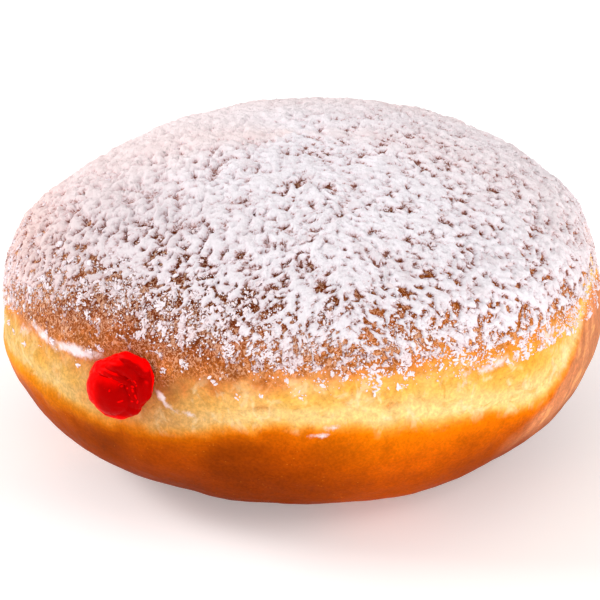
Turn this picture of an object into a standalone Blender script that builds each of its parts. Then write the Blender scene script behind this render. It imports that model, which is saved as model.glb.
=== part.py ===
"""Jelly filled doughnut: a round filled bun with a flat base, a pocket of jelly inside it and a curl of that jelly
standing out of the filling hole in its side. Metres, +Z up, the base on z = 0, the filling hole on the -Y side."""

import bmesh
import bpy
import numpy as np
from mathutils import Matrix, Vector

# the bun
MEAN_RADIUS = 0.0440
HEIGHT = 0.0478
EQUATOR_HEIGHT = 0.0227
BASE_RADIUS = 0.0180
UPPER_R_POWER, UPPER_Z_POWER = 1.90, 2.48
LOWER_R_POWER, LOWER_Z_POWER = 1.96, 2.54
# how far the plan departs from a circle, as a share of the radius: (cycles per turn, cosine, sine)
PLAN_LOBES = ((2, 0.0101, -0.0016), (3, -0.0134, -0.0120))
LOBES_TURN = np.radians(36.3)
EQUATOR_TILT_X, EQUATOR_TILT_Y = 0.0008, -0.0024
SHOULDER_LIFT_X, SHOULDER_LIFT_Y = 0.0006, -0.00106
BUN_SEGMENTS, BUN_RINGS = 72, 32

# the filling
GAP = 0.0003
HOLE_HEIGHT = 0.0251
HOLE_RADIUS = 0.0030
POCKET_RADIUS, POCKET_HALF_HEIGHT = 0.0170, 0.0095
POCKET_CENTRE = (0.0, -0.0030, 0.0245)
# the curl outside: a flat lobed dab on the bun, and on it the rolls of the curl, each an ellipsoid given by its centre
# (right, up, out from the bun's side), its half sizes the same way and its turn in degrees about the way out
DAB_CENTRE, DAB_HALF = (0.0, 0.0, 0.0003), (0.0057, 0.0051, 0.0019)
DAB_LOBES, DAB_LOBE_DEPTH = 7, 0.055
ROLLS = (
    ((-0.0013, -0.0006, 0.0014), (0.0038, 0.0031, 0.0023), -8.0),
    ((0.0004, 0.0024, 0.0013), (0.0043, 0.0015, 0.0015), -14.0),
    ((0.0030, -0.0006, 0.0010), (0.0016, 0.0033, 0.0014), 12.0),
)

for old in list(bpy.data.objects):
    bpy.data.objects.remove(old, do_unlink=True)

shown = bpy.data.collections.new("jelly_filled_doughnut")
tools = bpy.data.collections.new("cutters")
bpy.context.scene.collection.children.link(shown)
bpy.context.scene.collection.children.link(tools)


def material(name, colour, roughness):
    made = bpy.data.materials.new(name)
    made.use_nodes = True
    shader = made.node_tree.nodes["Principled BSDF"]
    shader.inputs["Base Color"].default_value = (*colour, 1.0)
    shader.inputs["Roughness"].default_value = roughness
    shader.inputs["Metallic"].default_value = 0.0
    return made


def placed(name, mesh, collection):
    made = bpy.data.objects.new(name, mesh)
    collection.objects.link(made)
    return made


def cutter(name, mesh):
    made = placed(name, mesh, tools)
    made.hide_render = True
    made.display_type = "WIRE"
    return made


def sphere(name, segments, rings, turn=None):
    """A unit sphere's mesh, its poles on Z or, turned, on another axis."""
    bm = bmesh.new()
    bmesh.ops.create_uvsphere(bm, u_segments=segments, v_segments=rings, radius=1.0)
    if turn is not None:
        bmesh.ops.transform(bm, matrix=turn, verts=bm.verts)
    mesh = bpy.data.meshes.new(name)
    bm.to_mesh(mesh)
    bm.free()
    return mesh


def plan_radius(azimuth):
    angle = azimuth - LOBES_TURN
    return MEAN_RADIUS * (1 + sum(c * np.cos(n * angle) + s * np.sin(n * angle) for n, c, s in PLAN_LOBES))


def bun_point(azimuth, fall):
    """A point of the bun's surface. fall runs from 0 at the crown through 1 at the equator to 2 at the base's edge."""
    edge = plan_radius(azimuth)
    angle = azimuth - LOBES_TURN
    equator = EQUATOR_HEIGHT + EQUATOR_TILT_X * np.cos(angle) + EQUATOR_TILT_Y * np.sin(angle)
    if fall <= 1:
        t = (1 - fall) * np.pi / 2
        share = np.cos(t) ** (2 / UPPER_R_POWER)
        r = edge * share
        z = equator + (HEIGHT - equator) * np.sin(t) ** (2 / UPPER_Z_POWER)
        z += (SHOULDER_LIFT_X * np.cos(angle) + SHOULDER_LIFT_Y * np.sin(angle)) * share * np.sin(2 * t)
    else:
        t = (fall - 1) * np.pi / 2
        r = BASE_RADIUS + (edge - BASE_RADIUS) * np.cos(t) ** (2 / LOWER_R_POWER)
        z = equator * (1 - np.sin(t) ** (2 / LOWER_Z_POWER))
    return Vector((r * np.cos(azimuth), r * np.sin(azimuth), z))


def bun_mesh(name, grow=0.0):
    """The bun: a sphere whose rings are laid along the bun's own profile, the last ring round its flat base."""
    mesh = sphere(name, BUN_SEGMENTS, BUN_RINGS)
    for v in mesh.vertices:
        ring = round(float(np.arccos(np.clip(v.co.z, -1, 1)) / np.pi * BUN_RINGS))
        azimuth = float(np.arctan2(v.co.y, v.co.x))
        if ring == 0:
            v.co = (0.0, 0.0, HEIGHT)
        elif ring == BUN_RINGS:
            v.co = (0.0, 0.0, 0.0)
        else:
            v.co = bun_point(azimuth, min(2.0 * ring / (BUN_RINGS - 1), 2.0))
    mesh.update()
    if grow:
        moved = [v.co + v.normal * grow for v in mesh.vertices]
        for v, co in zip(mesh.vertices, moved):
            v.co = co
        mesh.update()
    return mesh


def pocket_mesh(name, grow=0.0):
    mesh = sphere(name, 32, 16, Matrix.Rotation(0.05, 4, "Z"))
    r, h = POCKET_RADIUS + grow, POCKET_HALF_HEIGHT + grow
    for v in mesh.vertices:
        v.co = (POCKET_CENTRE[0] + v.co.x * r, POCKET_CENTRE[1] + v.co.y * r, POCKET_CENTRE[2] + v.co.z * h)
    return mesh


def neck_mesh(name, radius, length):
    """The filling hole's round bar, from inside the pocket out past the bun's side."""
    bm = bmesh.new()
    bmesh.ops.create_cone(
        bm, cap_ends=True, segments=24, radius1=radius, radius2=radius, depth=length,
        matrix=Matrix.Translation((0.0, POCKET_CENTRE[1] - length / 2, HOLE_HEIGHT))
        @ Matrix.Rotation(np.pi / 2, 4, "X")
        @ Matrix.Rotation(0.11, 4, "Z"),
    )
    mesh = bpy.data.meshes.new(name)
    bm.to_mesh(mesh)
    bm.free()
    return mesh


SIDE = float(-bun_point(-np.pi / 2, 0.93).y)


def on_side(right, up, out):
    """The point that far right, up and out from the filling hole's mouth, seen from outside."""
    return Vector((right, -SIDE - out, HOLE_HEIGHT + up))


def dab_mesh(name):
    """The dab of jelly spread round the hole, with a lobed edge."""
    mesh = sphere(name, 42, 14, Matrix.Rotation(np.pi / 2, 4, "X"))
    for v in mesh.vertices:
        around = np.arctan2(v.co.z, v.co.x)
        rim = 1.0 - v.co.y * v.co.y
        swell = 1 + DAB_LOBE_DEPTH * rim * np.cos(DAB_LOBES * around + 0.6)
        v.co = on_side(
            DAB_CENTRE[0] + v.co.x * DAB_HALF[0] * swell,
            DAB_CENTRE[1] + v.co.z * DAB_HALF[1] * swell,
            DAB_CENTRE[2] - v.co.y * DAB_HALF[2],
        )
    return mesh


def roll_mesh(name, centre, half, turn):
    """One roll of the curl."""
    mesh = sphere(name, 28, 14, Matrix.Rotation(np.pi / 2, 4, "X"))
    c, s = np.cos(np.radians(turn)), np.sin(np.radians(turn))
    for v in mesh.vertices:
        right, up, out = v.co.x * half[0], v.co.z * half[1], -v.co.y * half[2]
        v.co = on_side(centre[0] + right * c - up * s, centre[1] + right * s + up * c, centre[2] + out)
    return mesh


def boolean(target, tool, operation):
    m = target.modifiers.new(operation.lower(), "BOOLEAN")
    m.operation = operation
    m.object = tool
    m.solver = "EXACT"


def smooth(thing):
    for p in thing.data.polygons:
        p.use_smooth = True


DOUGH = material("dough", (0.55, 0.24, 0.07), 0.55)
JELLY = material("jelly", (0.62, 0.006, 0.006), 0.12)

dough = placed("dough", bun_mesh("dough"), shown)
dough.data.materials.append(DOUGH)
boolean(dough, cutter("pocket_room", pocket_mesh("pocket_room", GAP)), "DIFFERENCE")
boolean(dough, cutter("hole_room", neck_mesh("hole_room", HOLE_RADIUS + GAP, SIDE + 0.006)), "DIFFERENCE")
smooth(dough)

jelly = placed("jelly", dab_mesh("jelly"), shown)
jelly.data.materials.append(JELLY)
for n, (centre, half, turn) in enumerate(ROLLS):
    boolean(jelly, cutter("roll_%d" % n, roll_mesh("roll_%d" % n, centre, half, turn)), "UNION")
boolean(jelly, cutter("bun_room", bun_mesh("bun_room", GAP)), "DIFFERENCE")
boolean(jelly, cutter("neck", neck_mesh("neck", HOLE_RADIUS, SIDE + POCKET_CENTRE[1] + 0.0012)), "UNION")
boolean(jelly, cutter("pocket", pocket_mesh("pocket")), "UNION")
smooth(jelly)
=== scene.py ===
"""Looks of the jelly filled doughnut: fried dough with a pale band, powdered sugar lying on its crown as a coat, clumps,
flakes and grains, and a curl of red jelly at the filling hole. Lengths inside are millimetres; the scene is in metres."""

import math

import bmesh
import bpy
import numpy as np
from mathutils import Matrix, Vector


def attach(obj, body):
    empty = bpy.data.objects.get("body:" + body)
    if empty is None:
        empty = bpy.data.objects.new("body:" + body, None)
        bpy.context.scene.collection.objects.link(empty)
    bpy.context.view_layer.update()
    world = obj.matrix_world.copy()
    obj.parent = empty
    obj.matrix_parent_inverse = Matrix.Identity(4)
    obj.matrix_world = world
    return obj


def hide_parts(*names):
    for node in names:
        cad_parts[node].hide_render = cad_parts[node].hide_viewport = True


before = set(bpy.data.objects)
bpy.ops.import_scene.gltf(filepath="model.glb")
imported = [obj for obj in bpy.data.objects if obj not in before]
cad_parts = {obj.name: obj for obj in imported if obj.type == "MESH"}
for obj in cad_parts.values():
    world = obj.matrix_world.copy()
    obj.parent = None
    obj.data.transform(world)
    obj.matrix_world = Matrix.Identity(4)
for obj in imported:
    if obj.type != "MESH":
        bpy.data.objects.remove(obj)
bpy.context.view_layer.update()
MM = 0.001

# ------------------------------------------------------------------ sizes, the same as the solids'
MEAN_RADIUS, HEIGHT, EQUATOR, BASE_RADIUS = 44.0, 47.8, 22.7, 18.0
UPPER_R, UPPER_Z, LOWER_R, LOWER_Z = 1.90, 2.48, 1.96, 2.54
LOBES = ((2, 0.0101, -0.0016), (3, -0.0134, -0.0120))
TURN = math.radians(36.3)
TILT_X, TILT_Y, LIFT_X, LIFT_Y = 0.8, -2.4, 0.6, -1.06
HOLE_Z = 25.1


# ------------------------------------------------------------------ seeded noise
def hash01(i, j, k, seed):
    h = (
        (i.astype(np.uint32) * np.uint32(374761393))
        ^ (j.astype(np.uint32) * np.uint32(668265263))
        ^ (k.astype(np.uint32) * np.uint32(2246822519))
        ^ np.uint32((seed * 3266489917 + 12345) & 0xFFFFFFFF)
    )
    h ^= h >> np.uint32(15)
    h *= np.uint32(2246822519)
    h ^= h >> np.uint32(13)
    h *= np.uint32(3266489917)
    h ^= h >> np.uint32(16)
    return h.astype(np.float64) / 4294967296.0


def vnoise(p, size, seed):
    """Smooth noise from -1 to 1 with features about size mm across."""
    q = p / size + 31.7 * (seed % 7) + 0.37
    i = np.floor(q).astype(np.int64)
    f = q - i
    f = f * f * f * (f * (f * 6 - 15) + 10)
    out = np.zeros(len(p))
    for dx in (0, 1):
        for dy in (0, 1):
            for dz in (0, 1):
                w = (f[:, 0] if dx else 1 - f[:, 0]) * (f[:, 1] if dy else 1 - f[:, 1]) * (f[:, 2] if dz else 1 - f[:, 2])
                out += w * hash01(i[:, 0] + dx, i[:, 1] + dy, i[:, 2] + dz, seed)
    return out * 2 - 1


def fbm(p, size, seed, octaves=3, gain=0.5):
    out, amp, total = np.zeros(len(p)), 1.0, 0.0
    for n in range(octaves):
        out += amp * vnoise(p, size / 2.03**n, seed + 13 * n)
        total += amp
        amp *= gain
    return out / total * 1.6


def cells(p, size, seed):
    """Distances to the nearest and second nearest of scattered points, and a random value of the nearest one."""
    q = p / size
    i = np.floor(q).astype(np.int64)
    f1, f2, val = np.full(len(p), 9.0), np.full(len(p), 9.0), np.zeros(len(p))
    for dx in (-1, 0, 1):
        for dy in (-1, 0, 1):
            for dz in (-1, 0, 1):
                a, b, c = i[:, 0] + dx, i[:, 1] + dy, i[:, 2] + dz
                d = np.sqrt(
                    (a + hash01(a, b, c, seed) - q[:, 0]) ** 2
                    + (b + hash01(a, b, c, seed + 1) - q[:, 1]) ** 2
                    + (c + hash01(a, b, c, seed + 2) - q[:, 2]) ** 2
                )
                nearer = d < f1
                f2 = np.where(nearer, f1, np.minimum(f2, d))
                val = np.where(nearer, hash01(a, b, c, seed + 3), val)
                f1 = np.where(nearer, d, f1)
    return f1, f2, val


def strokes(flat, length, width, seed, ways=5):
    """Noise of short straight strokes lying every way, on flattened places in mm; about 0 to 1."""
    out = np.full(len(flat), -9.0)
    for k in range(ways):
        a = math.pi * (k + 0.35 * math.sin(seed + 3 * k)) / ways
        u = (flat[:, 0] * math.cos(a) + flat[:, 1] * math.sin(a)) / length
        v = (-flat[:, 0] * math.sin(a) + flat[:, 1] * math.cos(a)) / width
        out = np.maximum(out, vnoise(np.stack([u, v, np.full(len(u), 3.1 * k + 0.5)], -1), 1.0, seed + 17 * k))
    return np.clip(0.5 + 0.5 * out, 0, 1)


def step(a, b, x):
    t = np.clip((x - a) / (b - a), 0, 1)
    return t * t * (3 - 2 * t)


def bell(x, at, width):
    """1 at an azimuth, falling off round it; x, at and width in degrees."""
    d = (x - at + 180) % 360 - 180
    return np.exp(-((d / width) ** 2))


# ------------------------------------------------------------------ the bun's surface
def bun(az, fall):
    """Points at azimuth az, fall from 0 at the crown, 1 at the equator, to 2 at the base's edge."""
    a = az - TURN
    edge = MEAN_RADIUS * (1 + sum(c * np.cos(n * a) + s * np.sin(n * a) for n, c, s in LOBES))
    eq = EQUATOR + TILT_X * np.cos(a) + TILT_Y * np.sin(a)
    t = (1 - np.clip(fall, 0, 1)) * np.pi / 2
    share = np.clip(np.cos(t), 0, 1) ** (2 / UPPER_R)
    ru = edge * share
    zu = eq + (HEIGHT - eq) * np.sin(t) ** (2 / UPPER_Z)
    zu = zu + (LIFT_X * np.cos(a) + LIFT_Y * np.sin(a)) * share * np.sin(2 * t)
    t = (np.clip(fall, 1, 2) - 1) * np.pi / 2
    rl = BASE_RADIUS + (edge - BASE_RADIUS) * np.clip(np.cos(t), 0, 1) ** (2 / LOWER_R)
    zl = eq * (1 - np.sin(t) ** (2 / LOWER_Z))
    up = fall <= 1
    r, z = np.where(up, ru, rl), np.where(up, zu, zl)
    return np.stack([r * np.cos(az), r * np.sin(az), z], -1)


def bun_normal(az, fall):
    e = 2e-3
    f = np.clip(fall, 0.012, 1.996)
    da = bun(az + e, f) - bun(az - e, f)
    df = bun(az, f + e) - bun(az, f - e)
    n = np.cross(df, da)
    n /= np.linalg.norm(n, axis=-1, keepdims=True) + 1e-12
    crown = fall < 0.03
    n[crown] = (0, 0, 1)
    return n


# distance along the surface above the equator, for every azimuth
AZ_N, FALL_N = 181, 601
_az = np.linspace(-np.pi, np.pi, AZ_N)
_fall = np.linspace(0, 2, FALL_N)
_P = bun(np.repeat(_az, FALL_N), np.tile(_fall, AZ_N)).reshape(AZ_N, FALL_N, 3)
_len = np.concatenate([np.zeros((AZ_N, 1)), np.cumsum(np.linalg.norm(np.diff(_P, axis=1), axis=2), 1)], 1)
_S = _len[:, [300]] - _len  # positive above the equator
CROWN_S = _S[:, 0]
_smin = float(_S.min())
_sgrid = np.linspace(_smin, float(_S.max()), 1201)
_F = np.stack([np.interp(_sgrid, _S[k][::-1], _fall[::-1]) for k in range(AZ_N)])


def wrap(az):
    return (az + np.pi) % (2 * np.pi) - np.pi


def along(table, grid, az, x):
    """Reads a table over azimuth and a grid at az and x."""
    u = (wrap(az) + np.pi) / (2 * np.pi) * (AZ_N - 1)
    i = np.clip(u.astype(int), 0, AZ_N - 2)
    fu = u - i
    v = np.clip((x - grid[0]) / (grid[1] - grid[0]), 0, len(grid) - 1.001)
    j = v.astype(int)
    fv = v - j
    return (table[i, j] * (1 - fu) + table[i + 1, j] * fu) * (1 - fv) + (
        table[i, j + 1] * (1 - fu) + table[i + 1, j + 1] * fu
    ) * fv


def fall_of(az, s):
    return along(_F, _sgrid, az, s)


def s_of(az, fall):
    return along(_S, _fall, az, fall)


def crown_s(az):
    return np.interp(wrap(az), _az, CROWN_S)


def flat_of(az, s):
    """Places laid out flat round the crown, in mm along the surface."""
    r = crown_s(az) - s
    return np.stack([r * np.cos(az), r * np.sin(az)], -1)


# ------------------------------------------------------------------ where things lie on it
def ring_curve(pairs):
    """A smooth closed curve over azimuth in degrees through a few (azimuth, value) pairs."""
    a = np.array([x for x, _ in pairs], float)
    v = np.array([y for _, y in pairs], float)
    fine = np.arange(-180, 180, 1.0)
    vals = np.interp(fine, np.concatenate([a - 360, a, a + 360]), np.tile(v, 3))
    k = np.exp(-((np.arange(-9, 10) / 3.2) ** 2))
    k /= k.sum()
    vals = np.convolve(np.concatenate([vals[-9:], vals, vals[:9]]), k, "valid")
    return lambda deg: np.interp((deg + 180) % 360 - 180, np.append(fine, 180), np.append(vals, vals[0]))


# heights of the pale band's lower and upper edges, mm above the base
BAND_LOW = ring_curve(
    [(-132, 19.4), (-122, 19.6), (-110, 19.0), (-101, 18.6), (-94, 18.4), (-87, 18.6), (-80, 18.7), (-74, 19.3), (-68, 20.6),
     (-62, 21.3), (-57, 21.0), (-51, 21.2), (-46, 20.8), (-40, 20.1), (-35, 20.6), (-29, 19.3), (-23, 19.8), (-17, 18.8),
     (-9, 17.9), (-4, 18.4), (0, 20.2), (4, 22.6), (7, 25.4), (11, 27.6), (16, 28.6), (23, 28.2), (30, 25.8), (38, 23.0), (50, 21.2), (66, 20.4), (85, 21.4), (104, 19.6), (126, 18.4),
     (148, 19.8), (165, 20.6), (-172, 19.2), (-150, 19.6)]
)
BAND_HIGH = ring_curve(
    [(-130, 27.2), (-120, 26.4), (-109, 27.0), (-100, 27.1), (-93, 27.2), (-80, 26.2), (-74, 27.0), (-68, 27.2), (-62, 28.0),
     (-52, 29.0), (-46, 29.5), (-35, 30.1), (-29, 30.9), (-23, 29.8), (-17, 28.0), (-9, 28.7), (0, 28.8), (7, 29.6), (13, 30.8),
     (22, 32.8), (32, 33.0), (42, 31.0), (54, 28.0), (72, 28.8), (95, 30.2), (118, 28.0), (140, 27.0), (160, 28.6), (180, 28.9), (-160, 28.0), (-145, 27.0)]
)


# how far up the crust, mm above the equator, the sugar hides half of it
SUGAR_FROM = ring_curve([(-130, 7.5), (-114, 12.8), (-99, 15.4), (-84, 14.6), (-69, 11.2), (-54, 8.6), (-39, 8.2), (-24, 6.4), (-9, 3.0),
                         (5, 2.6), (25, 8.0), (50, 11.0), (80, 9.0), (108, 12.5), (140, 9.5), (168, 10.5), (-160, 9.0), (-145, 7.5)])


def layout(p, az):
    """For points of the plain surface: degrees, and the place between the band's lower (0) and upper (1) edges."""
    deg = np.degrees(wrap(az))
    wob = 0.55 * fbm(p, 5.0, 71, 3) + 0.25 * vnoise(p, 1.4, 72)
    lo = BAND_LOW(deg) + wob
    hi = BAND_HIGH(deg) + 1.1 * fbm(p, 4.0, 73, 3) + 0.4 * vnoise(p, 1.2, 74)
    return deg, lo, hi, (p[:, 2] - lo) / np.maximum(hi - lo, 2.0)


def cover_of(p, az, s):
    """Share of the crust that sugar hides."""
    deg = np.degrees(wrap(az))
    half = SUGAR_FROM(deg) + 1.1 * fbm(p, 9.0, 81, 2)
    c = 0.95 / (1 + np.exp(-(s - half + 0.45) / 3.7))
    c = c - 0.07 * np.clip(fbm(p, 11.0, 83, 2) - 0.05, 0, 1) * step(14, 26, s)
    # thinner, mottled sugar in front of the crown and on its far right, and an even blanket on its left
    thin_and_painted_light = np.exp(-(((p[:, 0] - 12.0) / 13.0) ** 2) - ((p[:, 1] + 5.0) / 12.0) ** 2) * step(20, 30, s)
    c = c - 0.04 * thin_and_painted_light * np.clip(0.7 + 1.0 * fbm(p, 6.0, 84, 2), 0, 2)
    c = c - 0.03 * bell(deg, -6, 30) * step(10, 18, s)
    return np.clip(c, 0.0, 0.985)


rng = np.random.default_rng(20)
# dimples pressed into the pale band: azimuth in degrees, height share in the band, half width, half height, depth
PITS = [(-46.9, 0.45, 1.0, 0.34, 0.6), (-45.6, 0.55, 0.34, 0.9, 0.5), (-38.7, 0.35, 0.9, 0.42, 0.65), (-62.5, 0.42, 1.7, 0.55, 0.55), (-43.0, 0.55, 1.3, 0.6, 0.35), (-80.0, 0.72, 1.2, 0.9, 0.4), (-52.0, 0.62, 1.0, 0.8, 0.25),
        (-33.0, 0.35, 2.4, 0.5, 0.22), (-24.0, 0.7, 0.9, 1.2, 0.3), (-12.0, 0.4, 1.6, 0.5, 0.3), (-108.0, 0.45, 1.0, 0.9, 0.3)]
for _ in range(46):
    a = rng.uniform(-180, 180)
    if -125 < a < 5 and rng.uniform() < 0.6:
        continue
    PITS.append((a, rng.uniform(0.15, 0.9), rng.uniform(0.5, 2.0), rng.uniform(0.4, 1.0), rng.uniform(0.12, 0.4)))


def skin_rise(p, az, s):
    """How far the dough stands out of the plain surface, in mm."""
    deg, lo, hi, b = layout(p, az)
    stretched = p * np.array([1, 1, 0.45])
    d = 0.42 * fbm(p, 17.0, 1, 2) + 0.12 * fbm(p, 6.0, 2, 2)
    sugar = step(9, 19, s)
    d -= 0.42 * sugar
    inband = step(-0.12, 0.12, b) * (1 - step(0.85, 1.2, b))
    d -= 0.30 * inband
    # soft puckers and stretch marks of the band, a blistered crust above it, a smooth dented one below
    d += inband * (0.16 * fbm(stretched, 3.4, 3, 3) + 0.05 * fbm(stretched, 1.3, 4, 2))
    crust = step(0.8, 1.15, b)
    d += crust * (0.07 * fbm(p, 1.9, 5, 3) + 0.10 * fbm(p, 4.5, 6, 2))
    under = 1 - step(-0.3, 0.05, b)
    d += under * (0.16 * fbm(p, 8.0, 7, 2) + 0.035 * fbm(p, 2.0, 8, 3))
    # a lip where the lower crust begins
    d += 0.14 * np.exp(-(((b + 0.16) / 0.15) ** 2)) * (0.6 + 0.6 * fbm(p, 7.0, 9, 2))
    for at, hb, w, h, depth in PITS:
        dx = ((deg - at + 180) % 360 - 180) / 180 * np.pi * 43.0
        near = np.abs(dx) < 3 * w
        if near.any():
            dz = (b[near] - hb) * (hi - lo)[near]
            d[near] -= depth * np.exp(-((dx[near] / w) ** 2) - (dz / h) ** 2)
    # the dough draws in round the filling hole, and stands up a little on its right
    dx = ((deg + 90 + 180) % 360 - 180) / 180 * np.pi * 43.0
    dz = p[:, 2] - HOLE_Z
    rr = np.sqrt(dx**2 + dz**2)
    d -= 0.5 * np.exp(-((rr / 5.2) ** 2))
    d += 0.28 * np.exp(-((dx - 8.2) ** 2 / 5 + (dz + 1.5) ** 2 / 9))
    return d * step(0.3, 5.0, p[:, 2])


def dough_at(az, fall):
    """Point on the dough, its outward direction and its distance above the equator."""
    p = bun(az, fall)
    n = bun_normal(az, fall)
    s = s_of(az, fall)
    return p, n, s


# ------------------------------------------------------------------ meshes
def new_mesh(name, verts, faces, smooth=True):
    """verts in mm, faces an array of triangles or quads."""
    mesh = bpy.data.meshes.new(name)
    faces = np.asarray(faces)
    k = faces.shape[1]
    mesh.vertices.add(len(verts))
    mesh.vertices.foreach_set("co", (np.asarray(verts) * MM).astype(np.float32).ravel())
    mesh.loops.add(faces.size)
    mesh.loops.foreach_set("vertex_index", faces.astype(np.int32).ravel())
    mesh.polygons.add(len(faces))
    mesh.polygons.foreach_set("loop_start", np.arange(0, faces.size, k, dtype=np.int32))
    mesh.polygons.foreach_set("loop_total", np.full(len(faces), k, np.int32))
    mesh.update(calc_edges=True)
    mesh.polygons.foreach_set("use_smooth", np.full(len(faces), smooth))
    mesh.update()
    thing = bpy.data.objects.new(name, mesh)
    bpy.context.scene.collection.objects.link(thing)
    return thing


def set_value(thing, name, values):
    a = thing.data.attributes.new(name, "FLOAT", "POINT")
    a.data.foreach_set("value", np.asarray(values, np.float32))


def set_colour(thing, name, rgb):
    a = thing.data.attributes.new(name, "FLOAT_COLOR", "POINT")
    a.data.foreach_set("color", np.concatenate([rgb, np.ones((len(rgb), 1))], 1).astype(np.float32).ravel())


def set_uv(thing, uv):
    """One uv per vertex, given to each of its corners."""
    layer = thing.data.uv_layers.new(name="OFBake")
    loops = np.zeros(len(thing.data.loops), np.int32)
    thing.data.loops.foreach_get("vertex_index", loops)
    layer.data.foreach_set("uv", uv[loops].astype(np.float32).ravel())


def lin(r, g, b):
    c = np.array([r, g, b], float) / 255
    return np.where(c <= 0.04045, c / 12.92, ((c + 0.055) / 1.055) ** 2.4)


def ramp(x, stops):
    """Colours along x from (place, (r, g, b) in sRGB) stops, mixed in linear light."""
    xs = [a for a, _ in stops]
    cs = np.array([lin(*c) for _, c in stops])
    return np.stack([np.interp(x, xs, cs[:, k]) for k in range(3)], -1)


def mix(a, b, t):
    t = np.asarray(t)[:, None] if np.ndim(t) else t
    return a * (1 - t) + b * t


# ------------------------------------------------------------------ dough
def build_dough():
    na, nr = 480, 200
    # rings: closest together through the band and the crust just above it
    knots = np.array([0, 0.35, 0.62, 0.80, 1.22, 1.55, 2.0])
    counts = np.array([0, 24, 30, 34, 66, 26, 16])
    fall = np.interp(np.arange(counts.sum() + 1), np.cumsum(counts), knots)
    fall[0] = 0.006
    rings = len(fall)
    az = np.linspace(-np.pi, np.pi, na, endpoint=False)
    A, F = np.meshgrid(az, fall)
    A, F = A.ravel(), F.ravel()
    p, n, s = dough_at(A, F)
    d = skin_rise(p, A, s)
    q = p + n * d[:, None]
    q[:, 2] = np.maximum(q[:, 2], 0.02)
    last = F > 1.9999
    q[last, 2] = 0.02
    deg, lo, hi, b = layout(p, A)
    cover = cover_of(p, A, s)
    below = np.maximum(lo - p[:, 2], 0)
    depth = s_of(A, fall_of(A, np.zeros(len(A)))) * 0 + np.maximum(-(s + (22.7 - lo)), 0)  # mm of surface below the band

    under = ramp(
        depth,
        [(0.0, (250, 170, 52)), (1.0, (246, 146, 22)), (2.2, (234, 120, 8)), (3.8, (208, 94, 3)), (6.5, (176, 71, 2)),
         (10, (156, 59, 3)), (14, (134, 48, 3)), (20, (116, 40, 4)), (34, (112, 40, 8))],
    )
    # darker, more fried patches, and a lighter, more orange right side, partly the fry's colour and partly painted
    # light from the right
    patch = fbm(p, 11.0, 41, 2)
    dark = np.clip(0.22 + 0.75 * patch, 0, 0.85) * step(1.6, 6.0, depth)
    under = mix(under, lin(104, 36, 6), dark * 0.8)
    right = bell(deg, -5, 42)
    under = mix(under, ramp(depth, [(0, (252, 168, 40)), (3, (232, 112, 4)), (6, (186, 80, 2)), (11, (142, 56, 3)), (30, (128, 48, 5))]), 0.75 * right)
    under = mix(under, ramp(depth, [(0, (252, 168, 40)), (4, (240, 120, 3)), (9, (216, 94, 1)), (14, (184, 74, 2))]), 0.7 * bell(deg, -36, 14))
    # a darker left side: partly the fry's colour, partly painted shade
    left = bell(deg, -100, 32)
    under = mix(under, lin(118, 42, 4), 0.62 * left * step(-0.5, 4, depth))
    under = mix(under, lin(172, 92, 34), 0.8 * bell(deg, -98, 24) * (1 - step(1.0, 4.0, depth)))
    mott = fbm(p, 2.6, 42, 3)
    under = under * (1 + 0.09 * mott[:, None] * step(1, 5, depth)[:, None]) * np.array([1.18, 1.24, 0.3])
    # the far right rim is paler, dry and salmon; a little of the far left is paler too, partly painted rim light
    slant = np.interp(p[:, 2], [4, 8, 12.6, 15.8, 18.5, 21.2, 24, 27, 31], [-20, -14, -9.2, -5.5, -1.2, 2.8, 6.0, 9, 14]) + 1.6 * fbm(p, 3.0, 50, 2)
    salmon = np.clip(step(-3.5, 3.5, deg - slant) * (1 - step(18, 50, deg + 7 * fbm(p, 8.0, 53, 3))) * step(7.5, 15.5, p[:, 2] + 2.2 * fbm(p, 6.0, 54, 3)) + 0.5 * bell(deg, -135, 9), 0, 1)
    under = mix(under, lin(220, 140, 94) * (1 + 0.14 * mott[:, None]), (0.85 - 0.25 * step(20, 45, deg)) * salmon)

    pale = ramp(
        b,
        [(-0.05, (250, 170, 60)), (0.04, (252, 196, 96)), (0.14, (253, 220, 145)), (0.3, (253, 226, 158)), (0.45, (252, 214, 126)),
         (0.62, (251, 202, 100)), (0.8, (250, 190, 98)), (0.95, (244, 168, 92)), (1.12, (226, 138, 72))],
    )
    tone = fbm(p * np.array([1, 1, 1.6]), 6.5, 43, 3)
    pale = mix(pale, lin(253, 230, 172), np.clip(tone, 0, 1) * 0.5 * step(0.02, 0.15, b))
    pale = mix(pale, lin(246, 180, 78), np.clip(-tone, 0, 1) * 0.55 * step(0.2, 0.5, b))
    pale = pale * np.array([1.0, 0.82, 0.66])
    pale = mix(pale, lin(255, 166, 44), 0.62 * bell(deg, -14, 30) * step(0.42, 0.85, b + 0.12 * fbm(p, 3.0, 49, 2)))
    pale = mix(pale, lin(255, 222, 150), 0.6 * bell(deg, -25, 34) * np.exp(-(((b - 0.14) / 0.13) ** 2)))
    # painted shade: the band is darker and tan on its left, beside and below the jelly
    pale = mix(pale, lin(196, 138, 78), 0.9 * bell(deg, -85, 14) * step(-0.25, 0.2, b))
    pale = pale * (1 - 0.24 * step(-86, -104, deg) * (1 - step(-150, -170, deg)))[:, None]

    above = np.maximum(s - (hi - 22.7), 0)
    crust = ramp(
        above,
        [(0, (226, 138, 72)), (1.5, (214, 122, 58)), (3.5, (194, 100, 44)), (7, (158, 74, 36)), (12, (124, 56, 32)), (20, (108, 50, 34)),
         (60, (108, 52, 38))],
    )
    crust = mix(crust, lin(222, 128, 30), 0.65 * bell(deg, -8, 40) * (1 - step(7, 15, above)))
    # paler, peach crust on the far left rim: partly the crust's colour, partly painted rim light
    crust = mix(crust, lin(224, 150, 100), 0.8 * bell(deg, -134, 26) * (1 - step(14, 26, above)))
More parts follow.
